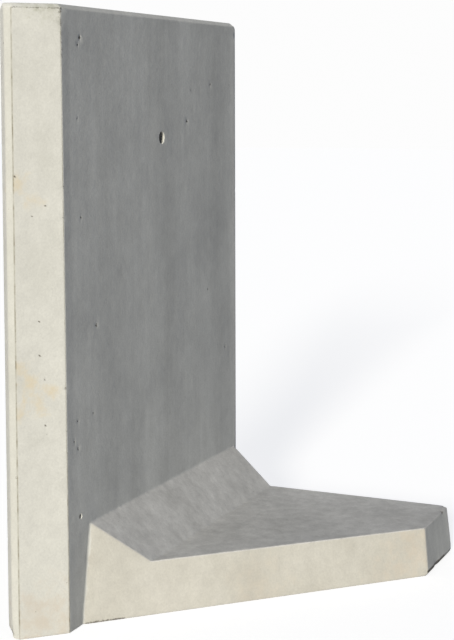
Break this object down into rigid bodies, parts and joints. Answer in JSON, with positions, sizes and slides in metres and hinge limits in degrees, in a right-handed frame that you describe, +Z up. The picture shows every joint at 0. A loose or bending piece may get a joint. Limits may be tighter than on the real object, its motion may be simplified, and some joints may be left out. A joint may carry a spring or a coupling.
{
  "type": "retaining wall corner unit",
  "caption": "Mitred corner unit of a precast L-shaped retaining wall: a stem, a haunch and a splayed foot cast in concrete around a steel cage.",
  "frame": {"origin": "bottom centre of the bounding box, on the face that the unit stands on", "axes": "+X along the wall towards the mitred end, +Y from the front face to the end of the foot, +Z up"},
  "size_m": [1, 0.6994, 1.3],
  "materials": {
    "concrete": "matte",
    "bar_steel": "rough",
    "sleeve_plastic": "matte",
    "spacer_plastic": "matte",
    "chair_mortar": "matte"
  },
  "bodies": {
    "root": {"concrete_casting": "concrete", "corner_bar_1": "bar_steel", "corner_bar_2": "bar_steel", "corner_bar_3": "bar_steel", "corner_bar_4": "bar_steel", "corner_bar_5": "bar_steel", "corner_bar_6": "bar_steel", "corner_bar_7": "bar_steel", "foot_chairs": "chair_mortar", "foot_cross_bar_1": "bar_steel", "foot_cross_bar_2": "bar_steel", "foot_cross_bar_3": "bar_steel", "foot_cross_bar_4": "bar_steel", "foot_top_bar_1": "bar_steel", "foot_top_bar_2": "bar_steel", "foot_top_bar_3": "bar_steel", "foot_top_bar_4": "bar_steel", "foot_top_bar_5": "bar_steel", "foot_top_bar_6": "bar_steel", "front_cross_bar_1": "bar_steel", "front_cross_bar_2": "bar_steel", "front_cross_bar_3": "bar_steel", "haunch_bar_1": "bar_steel", "haunch_bar_2": "bar_steel", "haunch_bar_3": "bar_steel", "haunch_bar_4": "bar_steel", "haunch_bar_5": "bar_steel", "lifting_sleeve": "sleeve_plastic", "lower_trimmer_bar": "bar_steel", "stem_back_spacers": "spacer_plastic", "stem_cross_bar_1": "bar_steel", "stem_cross_bar_2": "bar_steel", "stem_cross_bar_3": "bar_steel", "stem_cross_bar_4": "bar_steel", "stem_cross_bar_5": "bar_steel", "stem_cross_bar_6": "bar_steel", "stem_front_spacers": "spacer_plastic", "stem_upright_bar_1": "bar_steel", "stem_upright_bar_2": "bar_steel", "stem_upright_bar_3": "bar_steel", "stem_upright_bar_4": "bar_steel", "stem_upright_bar_5": "bar_steel", "stem_upright_bar_6": "bar_steel", "stem_upright_bar_7": "bar_steel", "stem_upright_bar_8": "bar_steel", "tie_sleeve": "sleeve_plastic", "top_edge_bar": "bar_steel", "upper_trimmer_bar": "bar_steel"}
  },
  "joints": []
}
